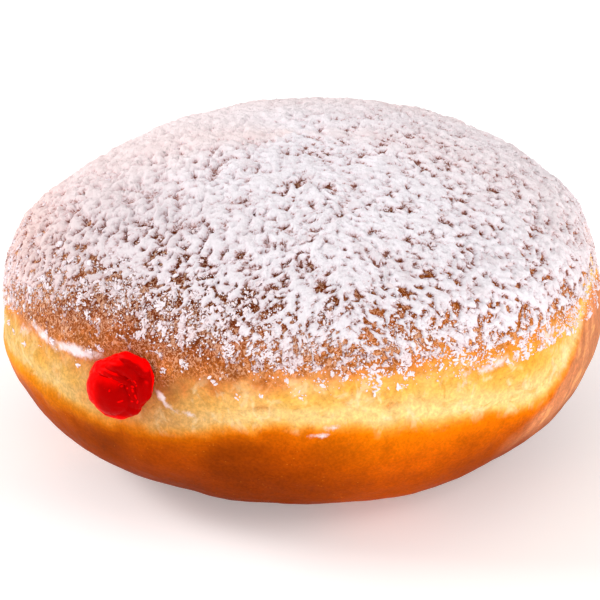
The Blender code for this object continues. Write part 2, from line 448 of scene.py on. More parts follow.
    # the crust's colour scaled, and painted shade making it darker on the front left, above the jelly
    crust = crust * np.array([0.92, 0.86, 0.76]) * (1 - 0.16 * bell(deg, -72, 36) * step(3, 8, above))[:, None]
    # darker higher up, except on the far left rim, where the painted rim light is kept
    crust = crust * (1 - 0.28 * step(2, 7, above) * (1 - bell(deg, -136, 24)))[:, None]
    blot = fbm(p, 2.2, 44, 3)
    crust = crust * (1 + 0.22 * blot[:, None])

    colour = mix(under, pale, step(-0.16, 0.10, b + 0.04 * vnoise(p, 1.6, 45)))
    colour = mix(colour, crust, step(0.70, 1.22, b + 0.22 * fbm(p, 2.0, 46, 3)))
    # painted highlight and shade: fine wrinkles on the salmon skin drawn as lighter ridges and darker hollows in the
    # colour
    wrinkle_light_and_shade = salmon * np.clip(vnoise(p * np.array([1, 1, 0.3]), 0.8, 51) + 0.5 * vnoise(p, 0.6, 52), -1, 1)
    colour = mix(colour, lin(255, 196, 120), 0.5 * np.clip(wrinkle_light_and_shade - 0.25, 0, 1))
    colour = colour * (1 + 0.20 * wrinkle_light_and_shade[:, None])
    # browner in the dimples
    pit = np.zeros(len(p))
    for at, hb, w, h, dp in PITS:
        dx = ((deg - at + 180) % 360 - 180) / 180 * np.pi * 43.0
        pit = np.maximum(pit, (dp / 0.5) * np.exp(-((dx / w) ** 2) - (((b - hb) * (hi - lo)) / h) ** 2))
    colour = mix(colour, lin(214, 128, 44), np.clip(pit, 0, 1) * 0.6)
    hx = ((deg + 90 + 180) % 360 - 180) / 180 * np.pi * 43.0
    hz = p[:, 2] - HOLE_Z
    colour = mix(colour, lin(150, 80, 40), 0.75 * np.exp(-((hx - 6.6) ** 2 / 3.2 + (hz - 0.4) ** 2 / 3.0)))

    # powder rubbed onto the skin: dust on the crust and a few streaks along the band's upper edge
    dust = step(0.85, 1.25, b) * np.clip(0.10 + 0.75 * cover + 0.34 * fbm(p, 2.0, 47, 3), 0, 1)
    dust = dust * (1 - 0.7 * step(0.35, 0.75, cover))
    dust = np.maximum(dust, 0.42 * bell(deg, -128, 26) * step(1.0, 1.5, b))
    smear = np.zeros(len(p))
    for at, z, w, h, turn, amount in SMEARS:
        dx = ((deg - at + 180) % 360 - 180) / 180 * np.pi * 43.0
        dz = p[:, 2] - z
        c, sn = math.cos(math.radians(turn)), math.sin(math.radians(turn))
        u, v = dx * c + dz * sn, -dx * sn + dz * c
        smear = np.maximum(smear, amount * np.exp(-np.abs(u / w) ** 3 - (v / h) ** 2))
    smear = np.clip(smear * (0.85 + 0.5 * fbm(p, 1.2, 48, 3)), 0, 1)

    verts = np.concatenate([q, [[0, 0, float(q[0, 2])], [0, 0, 0.0]]])
    top, bottom = len(q), len(q) + 1
    i = np.arange(rings - 1)[:, None] * na
    j = np.arange(na)[None, :]
    k = (np.arange(na)[None, :] + 1) % na
    quads = np.stack([i + j, i + na + j, i + na + k, i + k], -1).reshape(-1, 4)
    tris = [(top, int(a), int((a + 1) % na)) for a in range(na)]
    off = (rings - 1) * na
    tris += [(bottom, off + int((a + 1) % na), off + int(a)) for a in range(na)]
    quad_tris = np.concatenate([quads[:, [0, 1, 2]], quads[:, [0, 2, 3]]])
    thing = new_mesh("dough_skin", verts, np.concatenate([quad_tris, np.array(tris)]))

    def two_more(x, a, c):
        return np.concatenate([x, [a, c]])

    colour = np.clip(np.concatenate([colour, colour[:1], colour[-1:]]), 0.0004, 0.98)
    set_colour(thing, "tone", colour)
    set_value(thing, "band", two_more(np.clip(b, -3, 4), 4, -3))
    set_value(thing, "dust", two_more(dust, 0.2, 0))
    flat = flat_of(A, s)
    a = thing.data.attributes.new("flat", "FLOAT_VECTOR", "POINT")
    a.data.foreach_set("vector", np.concatenate([np.concatenate([flat, np.zeros((len(flat), 1))], 1), np.zeros((2, 3))]).astype(np.float32).ravel())
    set_value(thing, "smear", two_more(smear, 0, 0))
    set_value(thing, "calm", two_more(np.clip(bell(deg, -98, 26), 0, 1), 0, 0))

    # bake layout: the two halves of the turn one above the other, most room for the band
    layer = thing.data.uv_layers.new(name="OFBake")
    loops = np.zeros(len(thing.data.loops), np.int32)
    thing.data.loops.foreach_get("vertex_index", loops)
    ring_v = np.interp(np.arange(rings), np.cumsum(counts), np.array([0, 0.06, 0.16, 0.27, 0.70, 0.88, 1.0]))
    tri = loops.reshape(-1, 3)
    col = np.where(tri < len(q), tri % na, -1)
    known = np.where(col >= 0, col, 0).max(1)
    col = np.where(col < 0, known[:, None], col)
    wraps = (col.max(1) - col.min(1)) > na // 2
    col = np.where(wraps[:, None] & (col < na // 2), col + na, col).astype(float)
    half = (col.mean(1) >= na / 2).astype(float)
    u = (col - half[:, None] * na / 2) / (na / 2)
    ring = np.where(tri < len(q), np.minimum(tri // na, rings - 1), 0)
    v = ring_v[ring]
    v = np.where(tri == top, 0.0, v)
    v = np.where(tri == bottom, 1.0, v)
    uv = np.stack([0.004 + 0.992 * u, 0.004 + 0.49 * v + 0.502 * half[:, None]], -1)
    layer.data.foreach_set("uv", uv.astype(np.float32).ravel())
    return thing


# streaks of powder on the band's upper edge: azimuth, height, half length, half width, turn, strength
SMEARS = [(-102.0, 27.3, 5.4, 1.0, 4, 0.95), (-112.0, 27.0, 4.4, 1.1, -8, 0.85), (-119.0, 26.0, 2.2, 1.3, 40, 0.6), (-82.2, 24.2, 1.2, 0.6, -50, 0.9), (-80.3, 22.7, 1.1, 0.5, -30, 0.8), (-78.6, 22.2, 0.6, 0.4, 20, 0.7),
          (-76.0, 21.9, 2.2, 0.6, -10, 0.55), (-52.3, 20.0, 2.0, 0.45, 3, 0.85), (-48.4, 21.4, 2.0, 0.40, 8, 0.8),
          (-24.0, 26.0, 1.6, 0.6, 62, 0.8), (-19.5, 26.4, 1.7, 0.7, 8, 0.8), (-16.5, 27.0, 1.5, 0.8, 30, 0.8), (-13.0, 26.8, 1.2, 0.6, 10, 0.7), (-4.0, 27.2, 2.4, 1.2, 24, 0.75),
          (-39.0, 28.2, 0.9, 0.4, 70, 0.5), (-33.0, 28.0, 0.8, 0.4, 80, 0.45), (-64.0, 27.0, 0.9, 0.4, 60, 0.4),
          (-128.0, 27.6, 3.6, 1.1, 20, 0.85)]


# ------------------------------------------------------------------ sugar
COAT_LOW = 4.0  # mm above the equator where the coat's sheet ends


def disc_uv(az, s):
    """Lays the crown out flat, by distance from its top, inside a unit square."""
    r = np.clip((crown_s(az) - s) / (crown_s(az) + 2.0), 0, 1) * 0.49
    return np.stack([0.5 + r * np.cos(az), 0.5 + r * np.sin(az)], -1)


def build_coat():
    n = 304
    g = (np.arange(n) + 0.5) / n * 2 - 1
    X, Y = np.meshgrid(g, g)
    X, Y = X.ravel(), Y.ravel()
    # square to disc with cells of even size
    swap = np.abs(X) < np.abs(Y)
    r = np.where(swap, Y, X)
    t = np.where(swap, np.pi / 2 - np.pi / 4 * X / np.where(Y == 0, 1e-9, Y), np.pi / 4 * Y / np.where(X == 0, 1e-9, X))
    az = np.where(r < 0, t + np.pi, t)
    rad = np.abs(r)
    az = wrap(az)
    top = crown_s(az)
    s = top - rad * (top - COAT_LOW)
    fall = fall_of(az, s)
    p, nrm, _ = dough_at(az, fall)
    rise = skin_rise(p, az, s)
    c = cover_of(p, az, s)
    flat = flat_of(az, s)
    bend = np.stack([vnoise(p, 1.6, 101), vnoise(p, 1.6, 102)], -1)
    short = strokes(flat + 0.30 * bend, 1.35, 0.58, 110, 3)
    tiny = strokes(flat + 0.15 * bend, 0.95, 0.44, 140, 3)
    dunes = strokes(flat + 0.6 * bend, 3.4, 1.15, 170, 3)
    lump = fbm(p, 2.6, 104, 3)
    clump = fbm(p, 5.5, 106, 2)
    west = np.clip(bell(np.degrees(az), -118, 42) + 0.6 * bell(np.degrees(az), 120, 50), 0, 1) * step(15, 25, s) * (1 - 0.7 * step(30, 44, s))
    even = np.clip(bell(np.degrees(az), 175, 62), 0, 1) * step(20, 30, s)
    field = 0.95 * short + 0.70 * tiny + (0.07 + 0.6 * west) * (dunes - dunes.mean()) + 0.08 * lump + 0.03 * clump
    rank = np.argsort(np.argsort(field)) / len(field)
    # sugar stays on the highest parts of the field; the gaps are its lowest places
    on_coat = np.clip(c * 1.02 - 0.03 + 0.05 * even, 0, 0.995)
    margin = rank - (1 - on_coat)
    dense = step(0.55, 0.95, c)
    rise_in = np.clip(margin / 0.16, 0, 1) ** 0.7
    deep = margin + 0.05 * dense
    h = np.where(deep > 0, 0.04 + 0.12 * rise_in + np.clip(margin, 0, 1) * (0.24 + 0.40 * dense), 2.4 * deep)
    h = h + dense * rise_in * ((0.10 + 0.62 * west) * (dunes - 0.3 * west) + 0.10 * short + 0.08 * clump + 0.12 * lump)
    h = np.clip(h, -0.5, 1.05)
    edge_r = step(0.985, 1.0, rad)
    h = h * (1 - edge_r) - 0.5 * edge_r
    q = p + nrm * (rise + h)[:, None]
    far = np.clip(even + 0.3 * west, 0, 1)
    away = p[:, 0] * math.sin(TURN) - p[:, 1] * math.cos(TURN)  # towards the front, mm
    # painted warm rim light towards the back and on the left and right rims, and a warm tint where the sugar is thin
    # and the dough shows through
    warm_rim_light_and_thin = np.clip(step(6, -30, away) * 0.5 + 0.45 * bell(np.degrees(az), -145, 34) + 0.25 * bell(np.degrees(az), 25, 22), 0, 0.6)
    warm_rim_light_and_thin = np.clip(warm_rim_light_and_thin + 0.5 * bell(np.degrees(az), -136, 22) * (1 - step(12, 24, s)) + 0.5 * (1 - step(0.15, 0.6, c)), 0, 1)

    idx = np.arange(n * n).reshape(n, n)
    a, b, cc, d = idx[:-1, :-1], idx[:-1, 1:], idx[1:, 1:], idx[1:, :-1]
    quads = np.stack([a, b, cc, d], -1).reshape(-1, 4)
    thing = new_mesh("sugar_coat", q, quads)
    set_value(thing, "thick", np.clip(margin / (0.5 + 0.32 * west), -0.5, 1.0))
    set_value(thing, "cover", c)
    set_value(thing, "soft", far)
    set_value(thing, "warm_rim_light_and_thin", warm_rim_light_and_thin)
    deg = np.degrees(az)
    # painted shade: the sugar is darker on the left middle of the crown, and a little darker low on its sides
    set_value(thing, "painted_shade", 0.22 * bell(deg, -108, 34) * step(6, 12, s) * (1 - step(26, 38, s)) + 0.06 * (1 - step(14, 22, s)))
    a = thing.data.attributes.new("flat", "FLOAT_VECTOR", "POINT")
    a.data.foreach_set("vector", np.concatenate([flat, np.zeros((len(flat), 1))], 1).astype(np.float32).ravel())
    set_uv(thing, np.stack([(X + 1) / 2, (Y + 1) / 2], -1))
    return thing


def scatter(count, weight, seed, low=2.0):
    """Random places on the crown, more where weight(p, az, s, cover) is high (0 to 1)."""
    r = np.random.default_rng(seed)
    got_az, got_s, have = [], [], 0
    while have < count:
        m = 60000
        az = r.uniform(-np.pi, np.pi, m)
        s = low + (crown_s(az) - low) * (1 - np.sqrt(r.uniform(0, 1, m)))
        # keep the density even over the real surface
        p = bun(az, fall_of(az, s))
        ring = np.hypot(p[:, 0], p[:, 1])
        flat = (crown_s(az) - s) + 1e-6
        keep = r.uniform(0, 1, m) * 1.02 < np.clip(ring / flat, 0, 1.02)
        az, s, p = az[keep], s[keep], p[keep]
        c = cover_of(p, az, s)
        ok = r.uniform(0, 1, len(az)) < np.clip(weight(p, az, s, c), 0, 1)
        got_az.append(az[ok])
        got_s.append(s[ok])
        have += int(ok.sum())
    return np.concatenate(got_az)[:count], np.concatenate(got_s)[:count]


def shape(kind):
    bm = bmesh.new()
    if kind == "octa":
        bmesh.ops.create_icosphere(bm, subdivisions=1, radius=1.0)
        verts = np.array([[1, 0, 0], [-1, 0, 0], [0, 1, 0], [0, -1, 0], [0, 0, 1], [0, 0, -1]], float)
        faces = np.array([[0, 2, 4], [2, 1, 4], [1, 3, 4], [3, 0, 4], [2, 0, 5], [1, 2, 5], [3, 1, 5], [0, 3, 5]])
    else:
        bmesh.ops.create_icosphere(bm, subdivisions=1 if kind == "ico" else 2, radius=1.0)
        verts = np.array([v.co[:] for v in bm.verts])
        faces = np.array([[v.index for v in f.verts] for f in bm.faces])
    bm.free()
    return verts, faces


def build_bits(name, kind, az, s, length, width, height, turn, seed, sink, rough, lift=0.0, smooth=False, tilt=0.25):
    """One joined mesh of many small lumps lying on the crown. Sizes are in mm, turn in radians from level."""
    r = np.random.default_rng(seed)
    verts, faces = shape(kind)
    m, k = len(az), len(verts)
    fall = fall_of(az, s)
    p, n, _ = dough_at(az, fall)
    rise = skin_rise(p, az, s)
    side = np.stack([-np.sin(az), np.cos(az), np.zeros(m)], -1)
    upw = np.cross(n, side)
    upw /= np.linalg.norm(upw, axis=-1, keepdims=True)
    side = np.cross(upw, n)
    c, sn = np.cos(turn)[:, None], np.sin(turn)[:, None]
    e1 = side * c + upw * sn
    e2 = -side * sn + upw * c
    t1, t2 = r.normal(0, tilt, m)[:, None], r.normal(0, tilt, m)[:, None]
    n2 = n + e1 * t1 + e2 * t2
    n2 /= np.linalg.norm(n2, axis=-1, keepdims=True)
    e1 = e1 - n2 * (e1 * n2).sum(-1, keepdims=True)
    e1 /= np.linalg.norm(e1, axis=-1, keepdims=True)
    e2 = np.cross(n2, e1)
    jig = 1 + rough * r.uniform(-1, 1, (m, k))
    spin = r.uniform(0, 2 * np.pi, m)
    lx = verts[None, :, 0] * np.cos(spin)[:, None] - verts[None, :, 1] * np.sin(spin)[:, None]
    ly = verts[None, :, 0] * np.sin(spin)[:, None] + verts[None, :, 1] * np.cos(spin)[:, None]
    lx, ly, lz = lx * jig, ly * jig, verts[None, :, 2] * jig
    centre = p + n * (rise + height * (1 - sink) + lift)[:, None]
    q = (
        centre[:, None, :]
        + e1[:, None, :] * (lx * length[:, None] / 2)[..., None]
        + e2[:, None, :] * (ly * width[:, None] / 2)[..., None]
        + n2[:, None, :] * (lz * height[:, None])[..., None]
    )
    allf = (faces[None] + (np.arange(m) * k)[:, None, None]).reshape(-1, 3)
    thing = new_mesh(name, q.reshape(-1, 3), allf, smooth)
    base = disc_uv(az, s)
    spread = (q - centre[:, None, :])
    du = (spread * side[:, None, :]).sum(-1) / 110.0
    dv = (spread * upw[:, None, :]).sum(-1) / 110.0
    rot = az[:, None]
    uv = base[:, None, :] + np.stack([-dv * np.cos(rot) - du * np.sin(rot), -dv * np.sin(rot) + du * np.cos(rot)], -1)
    set_uv(thing, uv.reshape(-1, 2))
    set_value(thing, "bit", np.repeat(r.uniform(0, 1, m), k))
    set_value(thing, "cover", np.repeat(cover_of(p, az, s), k))
    return thing


def families(az, s, each, seed, reach):
    """Children scattered close to each parent place."""
    r = np.random.default_rng(seed)
    n = r.poisson(each, len(az)) + 1
    a, t = np.repeat(az, n), np.repeat(s, n)
    ang, d = r.uniform(0, 2 * np.pi, len(a)), np.abs(r.normal(0, reach, len(a)))
    ring = np.maximum(np.hypot(*bun(a, fall_of(a, t))[:, :2].T), 2.0)
    return wrap(a + d * np.cos(ang) / ring), t + d * np.sin(ang)


def build_sugar():
    made = [build_coat()]
    r = np.random.default_rng(5)

    def flake_weight(p, az, s, c):
        clump = 0.5 + 0.75 * fbm(p, 2.1, 131, 2) + 0.35 * fbm(p, 6.0, 132, 2)
        low = np.clip(c / 0.42, 0, 1) ** 0.8
        low = np.clip(low + 0.16 * bell(np.degrees(az), -68, 12) * step(2.2, 3.6, s), 0, 1)
        return low * (1 - 0.8 * step(0.6, 0.9, c)) * np.clip(clump, 0.04, 1)

    az, s = scatter(1750, flake_weight, 11, 0.8)
    az, s = families(az, s, 4.6, 12, 0.36)
    az, s = az[:9700], s[:9700]
    length = np.clip(r.lognormal(math.log(0.56), 0.38, len(az)), 0.26, 1.3)
    width = np.clip(length * r.uniform(0.25, 0.6, len(az)), 0.14, 0.5)
    height = r.uniform(0.07, 0.19, len(az))
    coat = step(0.6, 0.9, cover_of(bun(az, fall_of(az, s)), az, s))
    made.append(build_bits("sugar_flakes", "ico", az, s, length, width, height, r.uniform(0, 3.1416, len(az)), 21, 0.5, 0.35, lift=0.22 * coat, tilt=0.4))

    def clump_weight(p, az, s, c):
        return np.clip(0.25 + 0.7 * fbm(p, 5.0, 133, 2), 0.02, 1) * step(0.4, 0.65, c) * (1 - 0.6 * step(0.8, 0.95, c))

    az, s = scatter(260, clump_weight, 14, 5.0)
    length = np.clip(r.lognormal(math.log(1.05), 0.30, len(az)), 0.6, 2.0)
    width = length * r.uniform(0.4, 0.75, len(az))
    height = r.uniform(0.14, 0.26, len(az))
    coat = step(0.6, 0.9, cover_of(bun(az, fall_of(az, s)), az, s))
    made.append(build_bits("sugar_clumps", "ico2", az, s, length, width, height, r.uniform(0, 3.1416, len(az)), 22, 0.5, 0.22, lift=0.16 * coat, smooth=True, tilt=0.12))

    def grain_weight(p, az, s, c):
        near = 0.45 + 0.8 * fbm(p, 1.6, 134, 2)
        return np.clip(near, 0.05, 1) * np.clip((c - 0.12) / 0.3, 0.01, 1) * (1 - 0.85 * step(0.5, 0.85, c))

    az, s = scatter(21000, grain_weight, 15, 1.0)
    length = np.clip(r.lognormal(math.log(0.24), 0.35, len(az)), 0.12, 0.5)
    width = length * r.uniform(0.5, 1.0, len(az))
    height = width * r.uniform(0.35, 0.6, len(az))
    coat = step(0.6, 0.9, cover_of(bun(az, fall_of(az, s)), az, s))
    made.append(build_bits("sugar_grains", "octa", az, s, length, width, height, r.uniform(0, 6.28, len(az)), 23, 0.2, 0.3, lift=0.36 * coat))
    return made


# ------------------------------------------------------------------ jelly
# the skirt: how far it reaches from (-0.3, 0) at each turn, in degrees and mm
SKIRT = [(-171, 5.69), (-158, 6.41), (-144, 6.92), (-131, 6.3), (-120, 6.47), (-104, 5.79), (-87, 5.37), (-68, 5.22), (-51, 4.57), (-43, 4.4), (-32, 4.36), (-19, 4.65), (-2, 5.44), (9, 5.68), (23, 6.36), (34, 6.54), (43, 6.69), (52, 5.49), (60, 5.39), (73, 4.92), (89, 4.21), (119, 3.5), (145, 3.9), (158, 4.01), (171, 4.11)]
# ropes of (right, up, out, radius)
FOLDS = [
    [(-4.7, 0.2, 0.3, 0.9), (-3.3, 1.9, 1.1, 1.0), (-1.06, 3.04, 1.7, 1.0), (1.04, 3.61, 2.0, 1.0), (2.67, 3.39, 2.0, 0.95), (3.33, 2.7, 1.7, 0.8)],
    [(-0.65, 3.47, 0.7, 0.9), (1.52, 4.53, 1.1, 1.05), (3.45, 4.36, 1.15, 1.05), (4.64, 3.2, 0.9, 0.9)],
    [(3.35, 1.96, 1.0, 0.95), (4.41, 1.29, 0.95, 1.1), (4.39, -0.15, 0.85, 1.1), (2.95, -1.93, 0.8, 1.0)],
    [(2.27, -2.93, 0.8, 1.1), (0.27, -4.07, 0.85, 1.2), (-1.9, -4.37, 0.85, 1.15), (-3.57, -3.78, 0.8, 1.0)],
    [(-4.0, 1.0, 0.9, 0.66), (-2.7, 2.1, 1.9, 0.66), (-0.8, 2.5, 2.45, 0.66), (1.1, 2.35, 2.6, 0.62), (2.2, 1.7, 2.2, 0.55)],
    [(2.51, 0.92, 1.35, 0.9), (3.08, -0.61, 1.2, 0.9), (2.0, -2.36, 1.0, 0.9)],
]


def build_jelly():
    """The curl at the hole: rolls laid as chains of balls, merged and softened. Local axes: right, up, out, in mm."""
    hole = np.array([-np.pi / 2])
    heights = np.linspace(0.0, 12.0, 400)
    wall = bun(np.repeat(hole, 400), fall_of(np.repeat(hole, 400), heights))
    side = -float(np.interp(HOLE_Z, wall[:, 2], wall[:, 1]))
    balls = []  # (right, up, out, r_right, r_up, r_out)

    def ball(right, up, out, a, b, c):
        balls.append((right, up, out, a, b, c))

    def roll(points, n=34):
        """A soft rope through (right, up, out, radius) points."""
        points = np.array(points, float)
        t = np.linspace(0, 1, len(points))
        fine = np.linspace(0, 1, 121)
        path = np.stack([np.interp(fine, t, points[:, k]) for k in range(4)], -1)
        for _ in range(14):
            path[1:-1] = 0.25 * path[:-2] + 0.5 * path[1:-1] + 0.25 * path[2:]
        for k in np.linspace(0, 120, n).astype(int):
            ball(*path[k, :3], path[k, 3], path[k, 3], path[k, 3])

    # the uneven skirt lying on the dough
    ball(-0.3, 0.0, 0.05, 4.3, 3.9, 1.3)
    turns = np.array([a for a, _ in SKIRT], float)
    reaches = np.array([r for _, r in SKIRT])
    for k in range(90):
        a = 4.0 * k - 180
        r = float(np.interp(a, np.concatenate([turns - 360, turns, turns + 360]), np.tile(reaches, 3))) - 1.0
        ball(-0.3 + r * math.cos(math.radians(a)), r * math.sin(math.radians(a)), 0.25, 1.0, 1.0, 0.95)
    # the ball that came out last, low on the left
    ball(-1.3, -1.1, 1.2, 3.95, 3.6, 2.35)
    # folds sweeping over it from the upper left to the right, each lying behind the one before
    for rope in FOLDS:
        roll(rope)

    bm = bmesh.new()
    for right, up, out, a, b, c in balls:
        m = Matrix.Translation((right * MM, -(side + out) * MM, (HOLE_Z + up) * MM)) @ Matrix.Diagonal((a * MM, c * MM, b * MM, 1))
        bmesh.ops.create_icosphere(bm, subdivisions=5 if a > 3 else 3, radius=1.0, matrix=m)
    mesh = bpy.data.meshes.new("jelly_curl")
    bm.to_mesh(mesh)
    bm.free()
    thing = bpy.data.objects.new("jelly_curl", mesh)
    bpy.context.scene.collection.objects.link(thing)
    remesh = thing.modifiers.new("merge", "REMESH")
    remesh.mode = "VOXEL"
    remesh.voxel_size = 0.00011
    soft = thing.modifiers.new("soften", "SMOOTH")
    soft.factor = 0.5
    soft.iterations = 9
    deps = bpy.context.evaluated_depsgraph_get()
    done = bpy.data.meshes.new_from_object(thing.evaluated_get(deps))
    thing.modifiers.clear()
    thing.data = done
    bpy.data.meshes.remove(mesh)
    done.name = "jelly_curl"

    co = np.zeros(len(done.vertices) * 3)
    done.vertices.foreach_get("co", co)
    co = co.reshape(-1, 3) / MM
    nr = np.zeros(len(done.vertices) * 3)
    done.vertices.foreach_get("normal", nr)
    nr = nr.reshape(-1, 3)
    ripple = 0.06 * fbm(co, 1.5, 61, 2) + 0.025 * fbm(co, 0.6, 62, 2)
    co = co + nr * ripple[:, None]
    right, up, out = co[:, 0], co[:, 2] - HOLE_Z, -co[:, 1] - side
    done.vertices.foreach_set("co", (co * MM).ravel())
    done.update()
    done.polygons.foreach_set("use_smooth", np.full(len(done.polygons), True))

    # painted light and shade in the colour: lighter at the rim and on the upper and left faces of the rolls, darker on
    # the right, standing in for light through the thin jelly and light from above and the left
    turn = np.arctan2(up, right + 0.3)
    reach = np.hypot(right + 0.3, up)
    slots = ((turn + np.pi) / (2 * np.pi) * 72).astype(int) % 72
    far = np.array([reach[slots == k].max() if (slots == k).any() else 5.0 for k in range(72)])
    centres = (np.arange(-1, 73) + 0.5) / 72 * 2 * np.pi - np.pi
    inset = np.interp(turn, centres, np.concatenate([far[-1:], far, far[:1]])) - reach
    east = step(0.3, 2.6, right)
    glow = (1 - step(0.2, 1.6 - 0.9 * east, inset)) * (1 - east * step(0.1, 0.7, out))
    # painted light from above and the left, and painted shade on the right
    upper = step(0.05, 0.9, nr[:, 2])
    lefty = step(-0.2, 0.65, -nr[:, 0]) * step(-2.5, 0.5, -right)
    shade = step(0.8, 3.0, right) * 0.9
    thin_and_painted_light = np.maximum(np.maximum(upper, lefty) - shade * step(0.3, 1.0, inset), glow)
    # a few bright flecks where light catches the grain of the jelly
    spots = np.random.default_rng(9)
    for _ in range(18):
        a, b, turned, long = spots.uniform(0.0, 4.2), spots.uniform(-1.6, 2.2), spots.uniform(0, 3.14), spots.uniform(0.16, 0.42)
        u, v = (right - a) * math.cos(turned) + (up - b) * math.sin(turned), -(right - a) * math.sin(turned) + (up - b) * math.cos(turned)
        thin_and_painted_light = np.maximum(thin_and_painted_light, 0.9 * np.exp(-((u / long) ** 4) - (v / 0.13) ** 4))
    thin_and_painted_light = np.clip(thin_and_painted_light, 0, 1)
    set_value(thing, "thin_and_painted_light", thin_and_painted_light)
    set_uv(thing, np.stack([0.5 + right / 14.0, np.where(out > -0.2, 0.5 + up / 14.0, 0.02 + 0.0 * up)], -1))
    return thing


# ------------------------------------------------------------------ materials
class Nodes:
    def __init__(self, name):
        self.mat = bpy.data.materials.new(name)
        self.mat.use_nodes = True
        self.tree = self.mat.node_tree
        self.shader = self.tree.nodes["Principled BSDF"]

    def add(self, kind, **props):
        node = self.tree.nodes.new(kind)
        for k, v in props.items():
            setattr(node, k, v)
        return node

    def link(self, a, b):
        self.tree.links.new(a, b)

    def value(self, name):
        return self.add("ShaderNodeAttribute", attribute_name=name).outputs["Fac"]

    def colour(self, name):
        return self.add("ShaderNodeAttribute", attribute_name=name).outputs["Color"]

    def place(self, size_mm, stretch=(1, 1, 1)):
        co = self.add("ShaderNodeTexCoord").outputs["Object"]
        m = self.add("ShaderNodeMapping")
        m.inputs["Scale"].default_value = tuple(1000.0 / size_mm * k for k in stretch)
        self.link(co, m.inputs["Vector"])
        return m.outputs["Vector"]

    def noise(self, size_mm, detail=4.0, rough=0.55, distort=0.0, stretch=(1, 1, 1)):
        n = self.add("ShaderNodeTexNoise")
        n.inputs["Scale"].default_value = 1.0
        n.inputs["Detail"].default_value = detail
        n.inputs["Roughness"].default_value = rough
        n.inputs["Distortion"].default_value = distort
        self.link(self.place(size_mm, stretch), n.inputs["Vector"])
        return n.outputs["Fac"]

    def voronoi(self, size_mm, feature="F1", stretch=(1, 1, 1), out="Distance"):
        n = self.add("ShaderNodeTexVoronoi", feature=feature)
        n.inputs["Scale"].default_value = 1.0
        self.link(self.place(size_mm, stretch), n.inputs["Vector"])
        return n.outputs[out]

    def math(self, op, a, b=None, c=None, clamp=False):
        n = self.add("ShaderNodeMath", operation=op, use_clamp=clamp)
        for k, v in enumerate((a, b, c)):
            if v is None:
                continue
            if isinstance(v, (int, float)):
                n.inputs[k].default_value = v
            else:
                self.link(v, n.inputs[k])
        return n.outputs[0]

    def remap(self, x, lo, hi, to_lo=0.0, to_hi=1.0, smooth=True):
        n = self.add("ShaderNodeMapRange", interpolation_type="SMOOTHSTEP" if smooth else "LINEAR")
        n.inputs["From Min"].default_value = lo
        n.inputs["From Max"].default_value = hi
        n.inputs["To Min"].default_value = to_lo
        n.inputs["To Max"].default_value = to_hi
        self.link(x, n.inputs["Value"])
        return n.outputs["Result"]

    def mix(self, fac, a, b, blend="MIX"):
        n = self.add("ShaderNodeMix", data_type="RGBA", blend_type=blend)
        if isinstance(fac, (int, float)):
            n.inputs["Factor"].default_value = fac
        else:
            self.link(fac, n.inputs["Factor"])
        for socket, v in ((n.inputs[6], a), (n.inputs[7], b)):
            if isinstance(v, tuple):
                socket.default_value = (*v, 1.0)
            else:
                self.link(v, socket)
        return n.outputs[2]

    def bump(self, height, strength, distance_mm, under=None):
        n = self.add("ShaderNodeBump")
        n.inputs["Strength"].default_value = strength
        n.inputs["Distance"].default_value = distance_mm * MM
        self.link(height, n.inputs["Height"])
        if under is not None:
            self.link(under, n.inputs["Normal"])
        return n.outputs["Normal"]


def rgb(r, g, b):
    return tuple(float(x) for x in lin(r, g, b))


def flat_strokes(m, length, width, turns):
    """Shader twin of strokes(): brightest of a few stretched noises over the flattened crown."""
    place = m.add("ShaderNodeAttribute", attribute_name="flat").outputs["Vector"]
    wander = m.add("ShaderNodeTexNoise")
    wander.inputs["Scale"].default_value = 1.0 / (0.9 * length)
    wander.inputs["Detail"].default_value = 2.0
    m.link(place, wander.inputs["Vector"])
    off = m.add("ShaderNodeVectorMath", operation="MULTIPLY_ADD")
    off.inputs[1].default_value = (1.5 * length, 1.5 * length, 0.0)
    m.link(wander.outputs["Color"], off.inputs[0])
    m.link(place, off.inputs[2])
    place = off.outputs["Vector"]
    best = None
    for k, turn in enumerate(turns):
        mp = m.add("ShaderNodeMapping")
        mp.inputs["Location"].default_value = (7.3 * k, 3.1 * k, 11.0 * k)
        mp.inputs["Rotation"].default_value = (0, 0, math.radians(turn))
        m.link(place, mp.inputs["Vector"])
        sc = m.add("ShaderNodeMapping")
        sc.inputs["Scale"].default_value = (1.0 / length, 1.0 / width, 1.0)
        m.link(mp.outputs["Vector"], sc.inputs["Vector"])
        n = m.add("ShaderNodeTexNoise")
        n.inputs["Scale"].default_value = 1.0
        n.inputs["Detail"].default_value = 1.5
        n.inputs["Roughness"].default_value = 0.5
        m.link(sc.outputs["Vector"], n.inputs["Vector"])
        best = n.outputs["Fac"] if best is None else m.math("MAXIMUM", best, n.outputs["Fac"])
    return best


